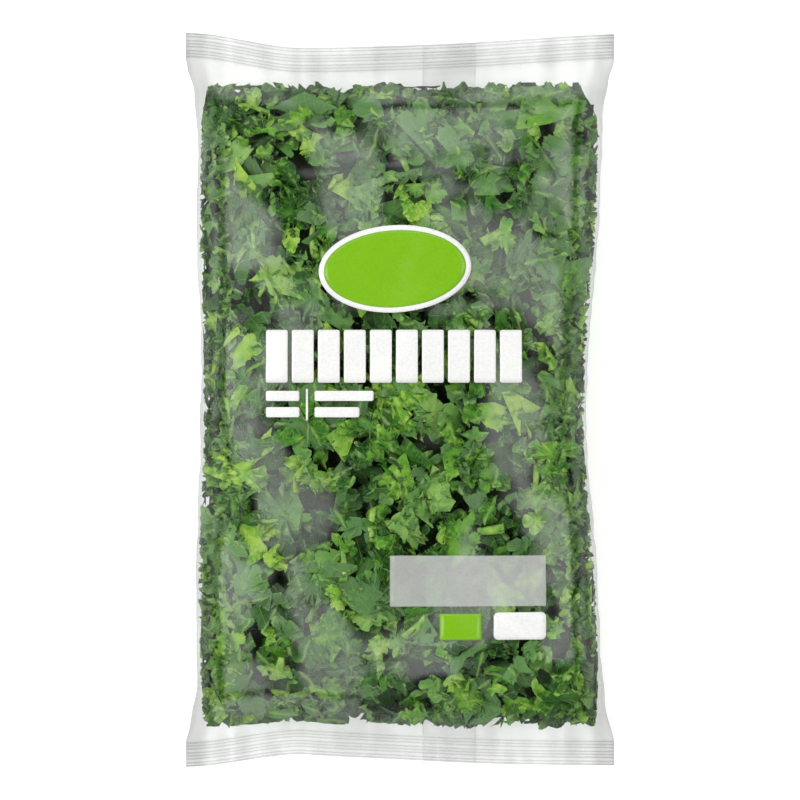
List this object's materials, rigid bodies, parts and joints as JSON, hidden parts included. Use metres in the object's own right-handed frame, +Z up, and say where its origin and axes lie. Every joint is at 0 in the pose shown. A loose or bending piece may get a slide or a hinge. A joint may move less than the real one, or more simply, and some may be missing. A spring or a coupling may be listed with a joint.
{
  "type": "bag of chopped kale",
  "caption": "Clear film pillow bag with crimped end seals and a back seam, packed with chopped curly kale, lying on its back.",
  "frame": {"origin": "on the surface that the bag lies on, under the middle of the bag's box", "axes": "+X across the bag, +Y along it towards its top end, +Z up through the front film"},
  "size_m": [0.2, 0.3426, 0.0467],
  "materials": {
    "film": "clear polypropylene film with a faint milky haze",
    "kale": "waxy dark green curly leaf with paler veins",
    "kale_stem": "pale juicy rib, satin",
    "print_white": "opaque white ink on the film",
    "print_green": "bright green ink on the film",
    "print_pale": "half-opaque pale ink on the film"
  },
  "bodies": {
    "root": {"film_bag": "film", "kale_front_layer": "kale", "kale_back_layer": "kale"}
  },
  "joints": []
}
